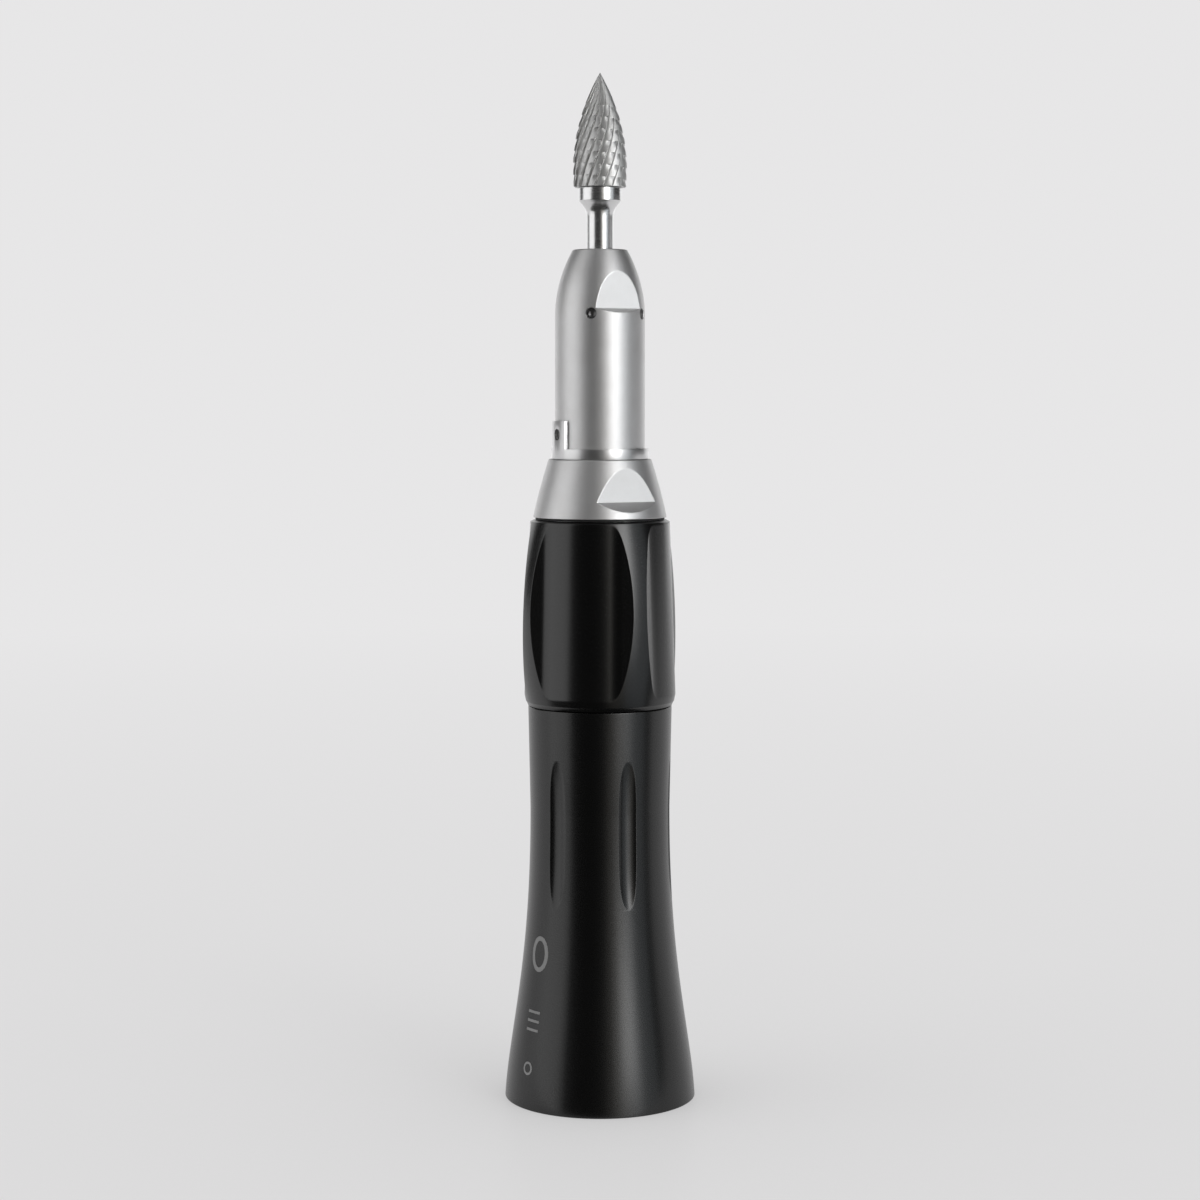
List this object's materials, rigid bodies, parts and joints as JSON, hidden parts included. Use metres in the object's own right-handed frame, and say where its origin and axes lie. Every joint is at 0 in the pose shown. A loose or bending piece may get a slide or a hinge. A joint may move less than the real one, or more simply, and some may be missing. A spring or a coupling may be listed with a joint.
{
  "type": "straight dental handpiece",
  "caption": "Straight dental handpiece: silver nose and cone, black faceted twist ring that opens the chuck, fluted flared rear sleeve, pointed-tree bur in the collet.",
  "frame": {"origin": "centre of the flat rear rim, where the motor meets the handpiece", "axes": "+Z along the spindle axis towards the bur's tip, -Y towards the nose flat that faces the viewer, -X towards the tab on the lock ring"},
  "size_m": [0.0218, 0.0218, 0.116],
  "materials": {
    "satin_steel": "bead-blasted satin",
    "machined_steel": "fine turned",
    "polished_steel": "polished",
    "carbide": "ground, matte grey",
    "spring_steel": "tempered",
    "brass": "turned",
    "cage_resin": "matte resin",
    "black_anodised": "satin black anodised",
    "black_rubber": "matte",
    "seal_polymer": "matte"
  },
  "bodies": {
    "housing": {"nose_sleeve": "satin_steel", "nose_pin_1": "polished_steel", "nose_pin_2": "polished_steel", "nose_pin_3": "polished_steel", "nose_pin_4": "polished_steel", "dust_seal": "seal_polymer", "wave_washer": "spring_steel", "front_bearing_1_outer_race": "machined_steel", "front_bearing_2_outer_race": "machined_steel", "outer_spacer": "machined_steel", "bearing_retainer": "brass", "lock_ring": "machined_steel", "nose_o_ring": "black_rubber", "front_housing": "satin_steel", "friction_washer": "black_rubber", "ring_o_ring_front": "black_rubber", "ring_o_ring_rear": "black_rubber", "rear_bearing_outer_race": "machined_steel", "rear_circlip": "spring_steel", "coupling_socket": "satin_steel", "socket_o_ring": "black_rubber", "rear_sleeve": "black_anodised"},
    "rotor": {"spindle": "machined_steel", "spindle_nut": "machined_steel", "spring_seat": "machined_steel", "inner_spacer": "machined_steel", "front_bearing_1_inner_race": "machined_steel", "front_bearing_2_inner_race": "machined_steel", "rear_bearing_inner_race": "machined_steel"},
    "front_cage_1": {"front_bearing_1_cage": "cage_resin"},
    "front_cage_2": {"front_bearing_2_cage": "cage_resin"},
    "rear_cage": {"rear_bearing_cage": "cage_resin"},
    "chuck": {"collet": "spring_steel", "drawbar": "machined_steel", "drawbar_nut": "brass", "cross_pin": "polished_steel", "collet_spring": "spring_steel"},
    "bur": {"bur_shank": "polished_steel", "bur_head": "carbide"},
    "twist_ring": {"grip_ring": "black_anodised"},
    "cam": {"cam_sleeve": "brass", "cam_pin_1": "polished_steel", "cam_pin_2": "polished_steel"},
    "drive_coupling": {"drive_dog": "machined_steel", "dog_pin": "polished_steel", "dog_spring": "spring_steel"}
  },
  "joints": [
    {"name": "spindle_spin", "type": "hinge", "parent": "housing", "child": "rotor", "pos_m": [0, 0, 0.07], "axis": [0, 0, 1], "continuous": true},
    {"name": "front_cage_1_spin", "type": "hinge", "parent": "housing", "child": "front_cage_1", "pos_m": [0, 0, 0.0914], "axis": [0, 0, 1], "continuous": true},
    {"name": "front_cage_2_spin", "type": "hinge", "parent": "housing", "child": "front_cage_2", "pos_m": [0, 0, 0.0854], "axis": [0, 0, 1], "continuous": true},
    {"name": "rear_cage_spin", "type": "hinge", "parent": "housing", "child": "rear_cage", "pos_m": [0, 0, 0.0473], "axis": [0, 0, 1], "continuous": true},
    {"name": "ring_twist", "type": "hinge", "parent": "housing", "child": "twist_ring", "pos_m": [0, 0, 0.0556], "axis": [0, 0, 1], "range_deg": [0, 35]},
    {"name": "cam_slide", "type": "slide", "parent": "housing", "child": "cam", "axis": [0, 0, 1], "range_m": [0, 0.0009]},
    {"name": "collet_open", "type": "slide", "parent": "rotor", "child": "chuck", "axis": [0, 0, 1], "range_m": [0, 0.0007], "deforming": ["collet_spring"]},
    {"name": "bur_draw", "type": "slide", "parent": "chuck", "child": "bur", "axis": [0, 0, 1], "range_m": [0, 0.025]},
    {"name": "dog_push", "type": "slide", "parent": "rotor", "child": "drive_coupling", "axis": [0, 0, 1], "range_m": [0, 0.0012], "deforming": ["dog_spring"]}
  ],
  "couplings": [
    {"joint": "front_cage_1_spin", "follows": "spindle_spin", "ratio": 0.44},
    {"joint": "front_cage_2_spin", "follows": "spindle_spin", "ratio": 0.44},
    {"joint": "rear_cage_spin", "follows": "spindle_spin", "ratio": 0.44},
    {"joint": "cam_slide", "follows": "ring_twist", "m_per_rad": 0.0014732},
    {"joint": "collet_open", "follows": "ring_twist", "m_per_rad": 0.0011458}
  ]
}
